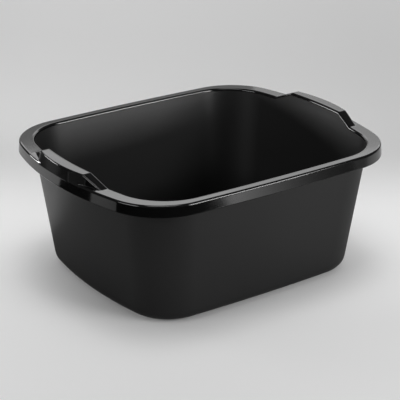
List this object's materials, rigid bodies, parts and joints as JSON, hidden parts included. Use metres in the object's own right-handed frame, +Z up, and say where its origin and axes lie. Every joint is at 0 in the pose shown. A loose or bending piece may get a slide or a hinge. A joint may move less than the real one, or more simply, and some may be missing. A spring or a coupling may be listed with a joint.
{
  "type": "washing up bowl",
  "caption": "Rectangular black plastic washing up bowl with rounded corners, tapered walls, a flat glossy rim turned down at its edge, and raised hollow handles at both short ends.",
  "frame": {"origin": "middle of the footprint, on the table that the bowl stands on", "axes": "+X along the long sides towards the right handle, +Y towards the rear long side, +Z up"},
  "size_m": [0.3918, 0.3218, 0.169],
  "materials": {
    "satin_basin": "fine satin moulded black polypropylene",
    "gloss_rim": "polished moulded black polypropylene"
  },
  "bodies": {
    "root": {"floor": "satin_basin", "foot_ring": "satin_basin", "front_wall": "satin_basin", "rear_wall": "satin_basin", "left_wall": "satin_basin", "right_wall": "satin_basin", "front_left_corner": "satin_basin", "front_right_corner": "satin_basin", "rear_left_corner": "satin_basin", "rear_right_corner": "satin_basin", "front_rim": "gloss_rim", "rear_rim": "gloss_rim", "front_skirt": "gloss_rim", "rear_skirt": "gloss_rim", "left_handle": "gloss_rim", "right_handle": "gloss_rim"}
  },
  "joints": []
}
